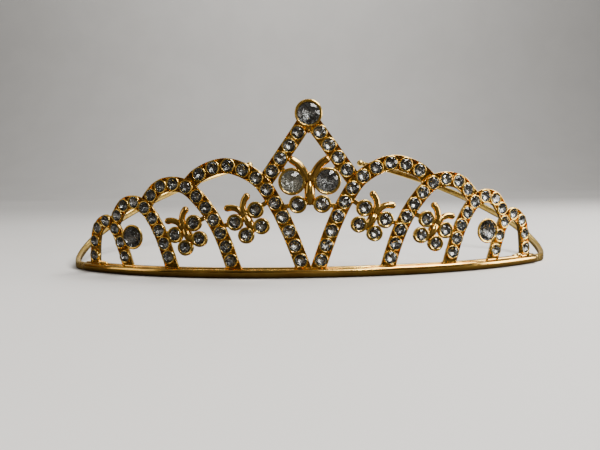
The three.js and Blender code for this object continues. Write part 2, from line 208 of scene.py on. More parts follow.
BAR_SECTION = rounded([
    (0.9, 0, 0.35), (0.9, BAR_HEIGHT, 0.25), (-0.36, BAR_HEIGHT, 0.16), (-0.44, 2.28, 0.05),
    (-1.02, 2.2, 0.12), (-1.32, 1.86, 0.2), (-1.42, 1.15, 0.4), (-1.26, 0.5, 0.4),
    (-0.8, 0.06, 0.35), (-0.4, 0, 0.2)])


# ---- meshes ---------------------------------------------------------------------------------
class Shape:
    """Closed shells gathered into one mesh, in flat millimetres until it is finished."""

    def __init__(self):
        self.points = []
        self.faces = []
        self.finish = []

    def add(self, points, faces, finish=0):
        start = len(self.points)
        self.points += [tuple(p) for p in points]
        self.faces += [tuple(start + k for k in face) for face in faces]
        self.finish += [finish] * len(faces)
        return self

    def join(self, other):
        start = len(self.points)
        self.points += other.points
        self.faces += [tuple(start + k for k in face) for face in other.faces]
        self.finish += other.finish
        return self

    def moved(self, change):
        copy = Shape()
        copy.points = [tuple(p) for p in change(np.array(self.points, float))]
        copy.faces = list(self.faces)
        copy.finish = list(self.finish)
        return copy

    def mirrored(self):
        copy = self.moved(lambda p: p * (-1, 1, 1))
        copy.faces = [face[::-1] for face in copy.faces]
        return copy


def rings_shape(rings, closed=False):
    """A skin over rings of points of the same count, capped at its ends or closed on itself."""
    shape = Shape()
    count = len(rings[0])
    points = np.concatenate(rings)
    faces = []
    spans = len(rings) if closed else len(rings) - 1
    for ring in range(spans):
        here = ring * count
        after = (ring + 1) % len(rings) * count
        for side in range(count):
            other = (side + 1) % count
            faces.append((here + side, here + other, after + other, after + side))
    if not closed:
        faces.append(tuple(range(count))[::-1])
        faces.append(tuple((len(rings) - 1) * count + k for k in range(count)))
    return shape.add(points, faces)


def sweep(path, section, spacing=0.35, start=0.0, end=None, size=None):
    """Sweeps a section of (across, deep) points along a path of the flat face, given as (x, z)."""
    end = path.length if end is None else end
    steps = max(2, int(round((end - start) / spacing)))
    rings = []
    for step in range(steps + 1):
        walked = start + (end - start) * step / steps
        middle = path.at(walked)
        along = path.along(walked)
        across = np.array([-along[1], along[0]])
        scale = 1.0 if size is None else size(step / steps)
        ring = []
        for a, y in section:
            ring.append((middle[0] + across[0] * a * scale, y * scale, middle[1] + across[1] * a * scale))
        rings.append(np.array(ring))
    return rings_shape(rings)


def turned(profile, x, z, sides=36, finish=0):
    """A solid of revolution about a front-to-back axis.

    The profile's points are (radius, deep). It closes on itself, or starts and ends on the axis.
    """
    shape = Shape()
    rows = [(r, y) for r, y in profile if r > 1e-6]
    turn = np.linspace(0, 2 * math.pi, sides, endpoint=False)
    points = [(x + r * math.cos(t), y, z + r * math.sin(t)) for r, y in rows for t in turn]
    faces = []
    open_ends = profile[0][0] <= 1e-6
    spans = len(rows) - 1 if open_ends else len(rows)
    for row in range(spans):
        here = row * sides
        after = (row + 1) % len(rows) * sides
        for side in range(sides):
            other = (side + 1) % sides
            faces.append((here + side, after + side, after + other, here + other))
    if open_ends:
        for row, y in ((0, profile[0][1]), (len(rows) - 1, profile[-1][1])):
            points.append((x, y, z))
            hub = len(points) - 1
            for side in range(sides):
                face = (row * sides + side, row * sides + (side + 1) % sides, hub)
                faces.append(face if row == 0 else face[::-1])
    return shape.add(points, faces, finish)


def ball(x, y, z, size, sides=20):
    """An ellipsoid; size is its three half widths."""
    profile = [(math.sin(t), -math.cos(t)) for t in np.linspace(0, math.pi, sides // 2 + 1)]
    profile[0], profile[-1] = (0, -1), (0, 1)
    return turned(profile, 0, 0, sides).moved(lambda p: p * size + (x, y, z))


def face_outward(mesh):
    """Turns a closed mesh's faces so that they all point out."""
    tidy = bmesh.new()
    tidy.from_mesh(mesh)
    bmesh.ops.recalc_face_normals(tidy, faces=tidy.faces)
    tidy.to_mesh(mesh)
    tidy.free()


def to_object(name, shape, materials, bent=True, smooth=True):
    """A finished object in metres, bent round the head unless it was drawn where it lies."""
    points = np.array(shape.points, float)
    if bent:
        points = bend(points)
    mesh = bpy.data.meshes.new(name)
    mesh.from_pydata((points * MM).tolist(), [], shape.faces)
    for material in materials:
        mesh.materials.append(material)
    mesh.polygons.foreach_set("material_index", shape.finish)
    face_outward(mesh)
    mesh.polygons.foreach_set("use_smooth", [smooth] * len(mesh.polygons))
    obj = bpy.data.objects.new(name, mesh)
    bpy.context.scene.collection.objects.link(obj)
    return obj


def from_object(obj):
    """Takes the mesh of a temporary object back as a Shape and removes the object."""
    shape = Shape()
    points = [tuple(v.co) for v in obj.data.vertices]
    shape.add(points, [tuple(face.vertices) for face in obj.data.polygons])
    mesh = obj.data
    bpy.data.objects.remove(obj)
    bpy.data.meshes.remove(mesh)
    return shape


def temporary(shape):
    """An object in flat millimetres, for modifiers to work on."""
    mesh = bpy.data.meshes.new("temporary")
    mesh.from_pydata([tuple(p) for p in shape.points], [], shape.faces)
    face_outward(mesh)
    obj = bpy.data.objects.new("temporary", mesh)
    bpy.context.scene.collection.objects.link(obj)
    return obj


def apply_modifiers(obj):
    bpy.context.view_layer.update()
    evaluated = obj.evaluated_get(bpy.context.evaluated_depsgraph_get())
    mesh = bpy.data.meshes.new_from_object(evaluated)
    old = obj.data
    obj.modifiers.clear()
    obj.data = mesh
    bpy.data.meshes.remove(old)


def cut(shape, *cutters):
    """shape less each of the cutters, all flat."""
    obj = temporary(shape)
    others = [temporary(cutter) for cutter in cutters]
    for other in others:
        modifier = obj.modifiers.new("cut", "BOOLEAN")
        modifier.operation = "DIFFERENCE"
        modifier.solver = "EXACT"
        modifier.object = other
    apply_modifiers(obj)
    for other in others:
        from_object(other)
    return from_object(obj)


def fused(shape, voxel, smoothing, keep):
    """One cast body from overlapping shells, with soft fillets where they meet."""
    obj = temporary(shape)
    remesh = obj.modifiers.new("remesh", "REMESH")
    remesh.mode = "VOXEL"
    remesh.voxel_size = voxel
    smooth = obj.modifiers.new("smooth", "SMOOTH")
    smooth.factor = 0.5
    smooth.iterations = smoothing
    fewer = obj.modifiers.new("fewer", "DECIMATE")
    fewer.ratio = keep
    apply_modifiers(obj)
    return from_object(obj)


def lumpy(obj, depth, size, seed=0.0):
    """Moves a cast surface in and out a little, as investment castings are never quite flat."""
    offset = Vector((seed, 2 * seed, 3 * seed))
    normals = [v.normal.copy() for v in obj.data.vertices]
    for vertex, normal in zip(obj.data.vertices, normals):
        swell = noise.noise(vertex.co / (size * MM) + offset)
        vertex.co += normal * (swell * depth * MM)


def finish_piece(obj, body, slot, *nodes):
    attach(obj, body)
    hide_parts(*nodes)


# ---- materials ------------------------------------------------------------------------------
class Nodes:
    """Short calls for building a material's nodes."""

    def __init__(self, name):
        self.material = bpy.data.materials.new(name)
        self.material.use_nodes = True
        self.tree = self.material.node_tree
        self.shader = self.tree.nodes["Principled BSDF"]

    def new(self, kind, **settings):
        node = self.tree.nodes.new(kind)
        for key, value in settings.items():
            setattr(node, key, value)
        return node

    def link(self, out, into):
        self.tree.links.new(out, into)

    def noise(self, scale, detail=4.0, roughness=0.55):
        node = self.new("ShaderNodeTexNoise")
        node.inputs["Scale"].default_value = scale
        node.inputs["Detail"].default_value = detail
        node.inputs["Roughness"].default_value = roughness
        place = self.new("ShaderNodeTexCoord")
        self.link(place.outputs["Object"], node.inputs["Vector"])
        return node.outputs["Fac"]

    def ramp(self, factor, *stops):
        node = self.new("ShaderNodeValToRGB")
        ramp = node.color_ramp
        while len(ramp.elements) < len(stops):
            ramp.elements.new(0.5)
        for element, (place, color) in zip(ramp.elements, stops):
            element.position = place
            element.color = (*color, 1.0)
        self.link(factor, node.inputs["Fac"])
        return node.outputs["Color"]

    def mix(self, factor, a, b):
        node = self.new("ShaderNodeMix", data_type="RGBA")
        for value, socket in ((factor, node.inputs[0]), (a, node.inputs[6]), (b, node.inputs[7])):
            if isinstance(value, bpy.types.NodeSocket):
                self.link(value, socket)
            elif isinstance(value, tuple):
                socket.default_value = (*value, 1.0)
            else:
                socket.default_value = value
        return node.outputs[2]

    def spread(self, factor, low, high, start=0.0, stop=1.0):
        node = self.new("ShaderNodeMapRange")
        for key, value in (("From Min", start), ("From Max", stop), ("To Min", low), ("To Max", high)):
            node.inputs[key].default_value = value
        self.link(factor, node.inputs["Value"])
        return node.outputs["Result"]

    def bump(self, *layers):
        """Layers of (height socket, distance in metres, strength)."""
        last = None
        for height, distance, strength in layers:
            node = self.new("ShaderNodeBump")
            node.inputs["Strength"].default_value = strength
            node.inputs["Distance"].default_value = distance
            self.link(height, node.inputs["Height"])
            if last is not None:
                self.link(last, node.inputs["Normal"])
            last = node.outputs["Normal"]
        self.link(last, self.shader.inputs["Normal"])


GOLD_DEEP = (0.73, 0.41, 0.09)
GOLD_BRIGHT = (0.94, 0.60, 0.14)
# Dark brown: real tarnish in the small specks, and painted shade in the hollows.
GOLD_TARNISH_AND_SHADE = (0.24, 0.11, 0.015)
# Pale edge colour: partly rubbed wear, partly a painted highlight.
GOLD_EDGE_WEAR_AND_HIGHLIGHT = (0.98, 0.70, 0.22)


def gold_material(name, lump, roughness, scratch=0.0, deep=GOLD_DEEP, bright=GOLD_BRIGHT):
    """Plated gold: its colour drifts, hollows are darkened with painted shade, and edges are brighter, partly
    rubbed wear and partly a painted highlight.
    """
    n = Nodes(name)
    drift = n.noise(260.0, 3.0)
    base = n.mix(n.spread(drift, 0.0, 1.0, 0.35, 0.65), deep, bright)
    geometry = n.new("ShaderNodeNewGeometry")
    # Painted shade: low pointiness darkens hollows and creases, where shade falls.
    hollow_shade = n.spread(geometry.outputs["Pointiness"], 1.0, 0.0, 0.40, 0.50)
    # High pointiness brightens edges: partly rubbed wear, partly a painted highlight.
    edge = n.spread(geometry.outputs["Pointiness"], 0.0, 1.0, 0.52, 0.60)
    speck = n.ramp(n.noise(1900.0, 5.0, 0.7), (0.60, (0, 0, 0)), (0.72, (1, 1, 1)))
    base = n.mix(n.spread(hollow_shade, 0.0, 0.75), base, GOLD_TARNISH_AND_SHADE)
    base = n.mix(n.spread(speck, 0.0, 0.25), base, GOLD_TARNISH_AND_SHADE)
    base = n.mix(n.spread(edge, 0.0, 0.6), base, GOLD_EDGE_WEAR_AND_HIGHLIGHT)
    n.link(base, n.shader.inputs["Base Color"])
    n.shader.inputs["Metallic"].default_value = 1.0
    patches = n.noise(700.0, 4.0)
    low, high = roughness
    n.link(n.spread(patches, low, high, 0.3, 0.7), n.shader.inputs["Roughness"])
    layers = [(n.noise(420.0, 2.0), lump * MM, 0.9), (n.noise(2600.0, 4.0), 0.004 * MM, 0.6)]
    if scratch:
        wave = n.new("ShaderNodeTexNoise")
        wave.inputs["Scale"].default_value = 1.0
        place = n.new("ShaderNodeTexCoord")
        stretch = n.new("ShaderNodeMapping")
        stretch.inputs["Scale"].default_value = (120.0, 3000.0, 3000.0)
        n.link(place.outputs["Object"], stretch.inputs["Vector"])
        n.link(stretch.outputs["Vector"], wave.inputs["Vector"])
        layers.append((wave.outputs["Fac"], scratch * MM, 0.5))
    n.bump(*layers)
    return n.material


def glass_material():
    n = Nodes("crystal_glass")
    tint = n.mix(n.spread(n.noise(600.0, 2.0), 0.0, 1.0, 0.35, 0.65), (0.88, 0.91, 0.90), (0.95, 0.96, 0.96))
    n.link(tint, n.shader.inputs["Base Color"])
    n.link(n.spread(n.noise(2400.0, 4.0), 0.0, 0.05, 0.45, 0.8), n.shader.inputs["Roughness"])
    n.shader.inputs["Transmission Weight"].default_value = 1.0
    n.shader.inputs["IOR"].default_value = 1.56
    return n.material


def foil_material(name, light, dark):
    n = Nodes(name)
    tone = n.mix(n.spread(n.noise(900.0, 3.0), 0.0, 1.0, 0.4, 0.6), dark, light)
    n.link(tone, n.shader.inputs["Base Color"])
    n.shader.inputs["Metallic"].default_value = 1.0
    n.link(n.spread(n.noise(1600.0, 3.0), 0.14, 0.32, 0.35, 0.7), n.shader.inputs["Roughness"])
    return n.material


GOLD_CAST = gold_material("gold_cast", 0.05, (0.09, 0.22))
# A brighter, yellower copy of the cast gold on bezels and cups: painted highlight, as if their lips catch the
# light.
GOLD_RING_LIT = gold_material(
    "gold_ring_lit", 0.03, (0.14, 0.26), deep=(0.94, 0.56, 0.10), bright=(1.0, 0.70, 0.18))
# A darker, duller copy of the cast gold on the channel floors: painted shade in the recess.
GOLD_FLOOR_SHADED = gold_material(
    "gold_floor_shaded", 0.06, (0.20, 0.36), deep=(0.26, 0.14, 0.02), bright=(0.44, 0.26, 0.05))
GOLD_BAR = gold_material("gold_bar", 0.02, (0.09, 0.20), scratch=0.004)
GOLD_WIRE = gold_material(
    "gold_wire", 0.015, (0.16, 0.30), scratch=0.003, deep=(0.80, 0.50, 0.10), bright=(0.95, 0.68, 0.20))
SOLDER = gold_material("solder", 0.06, (0.18, 0.34), deep=(0.80, 0.48, 0.11), bright=(0.95, 0.70, 0.28))
GLASS = glass_material()
FOIL = foil_material("foil_back", (0.66, 0.67, 0.67), (0.34, 0.35, 0.36))
FOIL_PALE = foil_material("foil_back_pale", (0.94, 0.94, 0.87), (0.74, 0.75, 0.69))


# ---- stones ---------------------------------------------------------------------------------
GIRDLE_FRONT = -0.90
TABLE_SHARE = 0.58
PAVILION_LIMIT = 1.0
CROWN_SHARE = 0.28
PAVILION_SHARE = 0.52
GIRDLE_THICKNESS = 0.05
STONE_LEAN = 0.04
FOIL_FINISH = 1
STONE_DICE = np.random.default_rng(7)


def brilliant(radius, x, z, girdle=GIRDLE_FRONT):
    """A round stone with table, star, kite and girdle facets in front, and a foiled pavilion behind."""
    crown = CROWN_SHARE * radius
    pavilion = min(PAVILION_SHARE * radius, PAVILION_LIMIT)
    spin = STONE_DICE.uniform(0, math.pi / 4)
    points = []

    def ring(count, shift, size, y):
        first = len(points)
        for k in range(count):
            turn = spin + 2 * math.pi * (k + shift) / count
            points.append((size * math.cos(turn), y, size * math.sin(turn)))
        return [first + k for k in range(count)]

    top = ring(8, 0, TABLE_SHARE * radius, girdle - crown)
    star = ring(8, 0.5, 0.82 * radius, girdle - 0.50 * crown)
    edge = ring(16, 0, radius, girdle)
    waist = ring(16, 0, radius, girdle + GIRDLE_THICKNESS)
    lower = ring(8, 0.5, 0.22 * radius, girdle + GIRDLE_THICKNESS + 0.84 * pavilion)
    points.append((0, girdle + GIRDLE_THICKNESS + pavilion, 0))
    culet = len(points) - 1

    front = [tuple(top[::-1])]
    back = []
    for k in range(8):
        last, after = (k - 1) % 8, (k + 1) % 8
        front.append((top[k], top[after], star[k]))
        front.append((top[k], star[k], edge[2 * k]))
        front.append((top[k], edge[2 * k], star[last]))
        front.append((star[k], edge[2 * k + 1], edge[2 * k]))
        front.append((star[k], edge[(2 * k + 2) % 16], edge[2 * k + 1]))
        back.append((culet, lower[last], waist[2 * k]))
        back.append((culet, waist[2 * k], lower[k]))
        back.append((lower[k], waist[2 * k], waist[2 * k + 1]))
        back.append((lower[k], waist[2 * k + 1], waist[(2 * k + 2) % 16]))
    for k in range(16):
        front.append((edge[k], edge[(k + 1) % 16], waist[(k + 1) % 16], waist[k]))
    lean = Matrix.Rotation(STONE_DICE.normal(0, STONE_LEAN), 3, "X")
    tip = lean @ Matrix.Rotation(STONE_DICE.normal(0, STONE_LEAN), 3, "Z")
    middle = np.array((0, girdle, 0))
    placed = (np.array(points) - middle) @ np.array(tip).T + middle + (x, 0, z)
    shape = Shape().add(placed, front)
    shape.faces += back
    shape.finish += [FOIL_FINISH] * len(back)
    return shape


def stone_object(name, shape, foil=None):
    return to_object(name, shape, [GLASS, foil or FOIL], smooth=False)


# ---- settings -------------------------------------------------------------------------------
# Cast gold, its brighter copy (painted highlight) and its darker copy (painted shade).
CASTING = [GOLD_CAST, GOLD_RING_LIT, GOLD_FLOOR_SHADED]
# Slot of the brighter copy: painted highlight on bezels and cups.
RING_LIT_SLOT = 1
# Slot of the darker copy: painted shade on the channel floors.
FLOOR_SHADE_SLOT = 2


def bezel(radius, x, z, front=-1.06, foot=FLOOR_FRONT + 0.1):
    """The raised ring round a stone, its lip rolled in over the stone's edge."""
    profile = rounded([
        (radius + 0.38, foot, 0.02), (radius + 0.34, front + 0.18, 0.14), (radius + 0.17, front, 0.14),
        (radius - 0.05, front + 0.08, 0.07), (radius - 0.03, foot, 0.02)])
    # The ring takes the brighter copy of the gold, a painted highlight.
    return turned([tuple(p) for p in profile], x, z, 32, RING_LIT_SLOT)


def pocket(radius, x, z):
    """The hole in the channel's floor that a stone's point goes down into."""
    inside = 0.8 * radius
    return turned([(0, -3), (inside, -3), (inside, 0.12), (0, 0.12)], x, z, 20)


def cup(radius, x, z, front=-1.08, wall=0.64):
    """A closed cup for one stone, with a domed back."""
    outside = radius + wall
    profile = [
        (0, 0.62), (outside * 0.45, 0.60), (outside - 0.42, 0.48), (outside - 0.12, 0.24),
        (outside - 0.02, -0.1), (outside, -0.60), (outside - 0.02, front + 0.22),
        (outside - 0.10, front + 0.08), (outside - 0.22, front + 0.01),
        (outside - 0.34, front), (outside - 0.46, front + 0.04), (radius - 0.03, front + 0.12),
        (radius - 0.09, front + 0.20), (radius - 0.05, -0.55), (radius * 0.8, 0.05), (0, 0.22)]
    return turned(profile, x, z, 40, RING_LIT_SLOT)


def dish(radius, x, z, front=-1.08, wall=0.56):
    """A shallow cup, its back drawn in like a bowl's."""
    outside = radius + wall
    profile = [
        (0, 0.50), (outside * 0.42, 0.44), (outside * 0.66, 0.22), (outside * 0.83, -0.10),
        (outside - 0.22, -0.42), (outside - 0.05, -0.66), (outside, front + 0.26),
        (outside - 0.06, front + 0.10), (outside - 0.20, front + 0.01),
        (outside - 0.32, front), (outside - 0.44, front + 0.04), (radius - 0.03, front + 0.12),
        (radius - 0.09, front + 0.20), (radius - 0.05, -0.62), (radius * 0.7, -0.15), (0, 0.22)]
    return turned(profile, x, z, 40, RING_LIT_SLOT)


def lump(x, z, size, y=-0.5):
    """A bead of solder, flatter than it is wide."""
    return ball(x, y, z, (size, size * 0.8, size * 0.7), 14)


# ---- the pieces -----------------------------------------------------------------------------
CASTING_LUMP = 0.045
CUP_LUMP = 0.04
LUMP_SIZE = 1.6
PEAK_GIRDLE = -1.0
CUTTER_REACH = 5


def box_shape(x_from, x_to, z_from, z_to):
    corners = [(x, y, z) for x in (x_from, x_to) for y in (-6, 6) for z in (z_from, z_to)]
    faces = [(0, 1, 3, 2), (4, 6, 7, 5), (0, 4, 5, 1), (2, 3, 7, 6), (0, 2, 6, 4), (1, 5, 7, 3)]
    return Shape().add(corners, faces)


def other_half():
    """All of the face on the left, to cut from what would cross its middle."""
    return box_shape(-90, 0.0, -5, 60)


def stone_places(band):
    """Where a band's stones sit, evenly spaced along it."""
    path = Path(band["line"])
    first, last = band["lead"], path.length - band["tail"]
    return [path.at(first + (last - first) * k / (band["stones"] - 1)) for k in range(band["stones"])]


def band_shape(band, places, cutters):
    """A band with its channel, a pocket under each stone and a bezel round it."""
    shape = sweep(Path(band["line"]), band_section(band["half"]))
    pockets = Shape()
    for x, z in places:
        pockets.join(pocket(band["stone"], x, z))
    shape = cut(shape, pockets, *cutters)
    # Faces on the channel's floor take the darker copy of the gold: painted shade in the recess.
    deep = [point[1] for point in shape.points]
    on_floor = [all(abs(deep[k] - FLOOR_FRONT) < 0.06 for k in face) for face in shape.faces]
    shape.finish = [FLOOR_SHADE_SLOT if lies else 0 for lies in on_floor]
    for x, z in places:
        shape.join(bezel(band["stone"], x, z))
    return shape


def band_room(band):
    """The space that a band takes up, a little narrow, so that a band which lands on it runs into it."""
    half = band["half"] - 0.1
    edge = [(-half, -CUTTER_REACH), (-half, CUTTER_REACH), (half, CUTTER_REACH), (half, -CUTTER_REACH)]
    return sweep(Path(band["line"]), edge, 0.6)


def mirror_sides(shape, build):
    """Makes the right-hand piece and its mirror image."""
    for side, sign in SIDES.items():
        build(shape if sign > 0 else shape.mirrored(), side)


def make_bar():
    half = BAR_HALF_LENGTH
    steps = 300
    rings = []
    for step in range(steps + 1):
        x = half * (2 * step / steps - 1)
        rings.append(np.array([(x, y, z) for y, z in BAR_SECTION]))
    bar = to_object("bar_polished", rings_shape(rings), [GOLD_BAR])
    lumpy(bar, 0.02, 5.0, 3.0)
    finish_piece(bar, "face", "gold_bar", "base_bar")


def foot_lumps(arch, is_last):
    """The small beads of solder where a leg stands on the bar."""
    shape = Shape()
    path = Path(arch["line"])
    ends = [0.0, path.length] if is_last else [0.0]
    for walked in ends:
        foot = path.at(walked)
        way = path.along(walked) * (1 if walked == 0 else -1)
        foot = foot + way * (BAR_HEIGHT - FOOT_START) / max(way[1], 0.3)
        for side, size in ((-1, 0.34), (1, 0.46)):
            shape.join(lump(foot[0] + side * arch["half"] * 0.98, foot[1] + 0.05, size, -0.35))
    return shape


def make_arches():
    cut_away = other_half()
    for index, arch in enumerate(ARCHES):
        cutters = [cut_away] if index == 0 else []
        if index + 1 < len(ARCHES):
            cutters.append(band_room(ARCHES[index + 1]))
        places = stone_places(arch)
        shape = band_shape(arch, places, cutters)
        shape.join(foot_lumps(arch, index + 1 == len(ARCHES)))
        number = index + 1

        def build_band(piece, side):
            obj = to_object(f"arch_{side}_{number}_casting", piece, CASTING)
            lumpy(obj, CASTING_LUMP, LUMP_SIZE, number)
            finish_piece(obj, "face", "gold_cast", f"arch_{side}_{number}")

        mirror_sides(shape, build_band)
        for side, sign in SIDES.items():
            gems = Shape()
            for x, z in places:
                gems.join(brilliant(arch["stone"], sign * x, z))
            row = stone_object(f"arch_{side}_{number}_stones", gems)
            finish_piece(row, "face", "crystal", f"stones_arch_{side}_{number}")


def make_peak():
    inside = BIG_STONE + 0.40
    room = [(0, -CUTTER_REACH), (inside, -CUTTER_REACH), (inside, CUTTER_REACH), (0, CUTTER_REACH)]
    cup_room = turned(room, *PEAK, 40)
    cutters = [other_half(), cup_room, band_room(ARCHES[0])]
    places = stone_places(PEAK_BAR)
    shape = band_shape(PEAK_BAR, places, cutters)

    def build_bar(piece, side):
        obj = to_object(f"peak_bar_{side}_casting", piece, CASTING)
        lumpy(obj, CASTING_LUMP, LUMP_SIZE, 9)
        finish_piece(obj, "face", "gold_cast", f"peak_bar_{side}")

    mirror_sides(shape, build_bar)
    for side, sign in SIDES.items():
        gems = Shape()
        for x, z in places:
            gems.join(brilliant(STONE, sign * x, z))
        row = stone_object(f"peak_bar_{side}_stones", gems)
        finish_piece(row, "face", "crystal", f"stones_peak_{side}")

    holder = cup(BIG_STONE, *PEAK, front=-1.15, wall=0.62)
    fill = [(-2.4, 38.3), (0, 35.3), (2.4, 38.3)]
    front = [(x, -0.5, z) for x, z in fill]
    back = [(x, 0.3, z) for x, z in fill]
    holder.add(front + back, [(0, 1, 2), (5, 4, 3), (0, 3, 4, 1), (1, 4, 5, 2), (2, 5, 3, 0)])
    setting = to_object("peak_cup", holder, CASTING)
    lumpy(setting, CUP_LUMP, LUMP_SIZE, 11)
    finish_piece(setting, "face", "gold_cast", "peak_setting")
    gem = stone_object("peak_gem", brilliant(BIG_STONE, *PEAK, girdle=PEAK_GIRDLE))
    finish_piece(gem, "face", "crystal", "stone_peak")


def flat_strip(points, half, front, back):
    """A plate along a line, with rounded edges."""
    return sweep(Path(points), rounded([(-half, back, 0.2), (-half, front, 0.2), (half, front, 0.2),
                                        (half, back, 0.2)]), 0.3)


def body_shape(width, top, bottom):
    """A butterfly's body: slim at the head, fullest past its middle, and pointed."""
    rings = []
    for t in np.linspace(0.015, 0.985, 30):
        girth = width / 2 * math.sin(math.pi * t ** 1.25) ** 0.7
        turn = np.linspace(0, 2 * math.pi, 20, endpoint=False)
        z = top + (bottom - top) * t
        rings.append(np.stack([girth * np.cos(turn), -0.45 + 0.9 * girth * np.sin(turn), np.full(20, z)], 1))
    return rings_shape(rings)


def butterfly_parts(make):
    """A butterfly's body, feelers and webs in its own flat place: its wings lie along x, its body along z."""
    parts = body_shape(*make["body"])
    radius = make["feeler_radius"]
    swell = make["bulb"]
    _, top, bottom = make["body"]
    parts.join(ball(0, -0.5, top - 0.35, (radius * 1.15, radius * 1.05, radius * 1.3), 20))
    parts.join(flat_strip([(0, top * 0.3), (0, bottom * 0.8)], make["plate"], -0.2, 0.4))
    for sign in (-1, 1):
        for wing in ("upper", "lower"):
            across, along, stone = make[wing]
            middle = np.array((sign * across, along))
            root = np.array((0, along * 0.8 - 0.2))
            reach = (middle - root) / np.linalg.norm(middle - root)
            parts.join(flat_strip([root, middle - (stone + 0.2) * reach], 0.95, -0.5, 0.4))
        feeler = Path([(sign * a, b) for a, b in make["feeler"]])

        def size(t):
            return radius + swell * max(0.0, 4 * t - 3)

        parts.join(sweep(feeler, circle(1.0, 16), 0.15, size=size).moved(lambda p: p + (0, -0.5, 0)))
        end = feeler.at(feeler.length)
        parts.join(ball(end[0], -0.5, end[1], (radius + swell,) * 3))
    return parts


def placer(butterfly):
    """From a butterfly's own place to the flat face."""
    lean = butterfly["tilt"]
    turn = np.array([[math.cos(lean), 0, math.sin(lean)], [0, 1, 0], [-math.sin(lean), 0, math.cos(lean)]])
    origin = np.array((butterfly["x"], 0, butterfly["z"]))
    return lambda points: np.asarray(points) @ turn.T + origin


def butterfly_casting(butterfly, placed):
    make = butterfly["make"]
    parts = butterfly_parts(make).moved(placed)
    for wing, dx, dz in butterfly["tabs"]:
        across, along, stone = make[wing]
        x, _, z = placed([(math.copysign(across, dx), 0, along)])[0]
        reach = np.array((dx, dz)) / math.hypot(dx, dz)
        near = np.array((x, z)) + (stone + 0.15) * reach
        far = np.array((x, z)) + max(TAB_LENGTH, stone + 1.2) * reach
        parts.join(flat_strip([near, far], 0.6, -0.6, 0.4))
    shape = fused(parts, 0.075, 3, 0.45)
    for wing in ("upper", "lower"):
        across, along, stone = make[wing]
        for sign in (-1, 1):
            x, _, z = placed([(sign * across, 0, along)])[0]
            shape.join(cup(stone, x, z))
    return shape


def make_butterflies():
    for butterfly in BUTTERFLIES:
        make = butterfly["make"]
        placed = placer(butterfly)
        shape = butterfly_casting(butterfly, placed)
        is_centre = butterfly["name"] == "centre"
        wings = [(wing, sign) for wing in ("upper", "lower") for sign in (-1, 1)]
        for side, mirror in ({"": 1} if is_centre else SIDES).items():
            label = "centre" if is_centre else f"{side}_{butterfly['name']}"
            piece = shape if mirror > 0 else shape.mirrored()
            casting = to_object(f"butterfly_{label}_casting", piece, CASTING)
            lumpy(casting, 0.03, 1.4, 5)
            finish_piece(casting, "face", "gold_cast", f"butterfly_{label}")
            for wing, sign in wings:
                across, along, stone = make[wing]
                x, _, z = placed([(sign * across, 0, along)])[0]
                if is_centre:
                    node = f"stone_centre_{wing}_{'left' if sign < 0 else 'right'}"
                else:
                    node = f"stone_{label}_{wing}_{'inner' if sign < 0 else 'outer'}"
                pale = is_centre and wing == "upper" and sign < 0
                gem = stone_object(node.replace("stone_", "gem_"), brilliant(stone, mirror * x, z),
                                   FOIL_PALE if pale else FOIL)
                finish_piece(gem, "face", "crystal", node)


def make_drops():
    x, z = DROP
    shape = dish(BIG_STONE, x, z)
    tab = Path([(x + BIG_STONE + 0.15, z), (x + BIG_STONE + 1.3, z)])
    section = rounded([(-1.1, 0.5, 0.2), (-1.1, -0.5, 0.25), (1.1, -0.5, 0.25), (1.1, 0.5, 0.2)])
    shape.join(sweep(tab, section, 0.3))

    def build(piece, side):
        obj = to_object(f"drop_{side}_cup", piece, CASTING)
        lumpy(obj, CUP_LUMP, LUMP_SIZE, 4)
        finish_piece(obj, "face", "gold_cast", f"drop_setting_{side}")

    mirror_sides(shape, build)
    for side, sign in SIDES.items():
        gem = stone_object(f"drop_{side}_gem", brilliant(BIG_STONE, sign * x, z))
        finish_piece(gem, "face", "crystal", f"stone_drop_{side}")


def leg_rise(y):
    run = max(0.0, y - LEG_RISE["start"])
    return LEG_RISE["slope"] * (math.hypot(run, LEG_RISE["ease"]) - LEG_RISE["ease"])


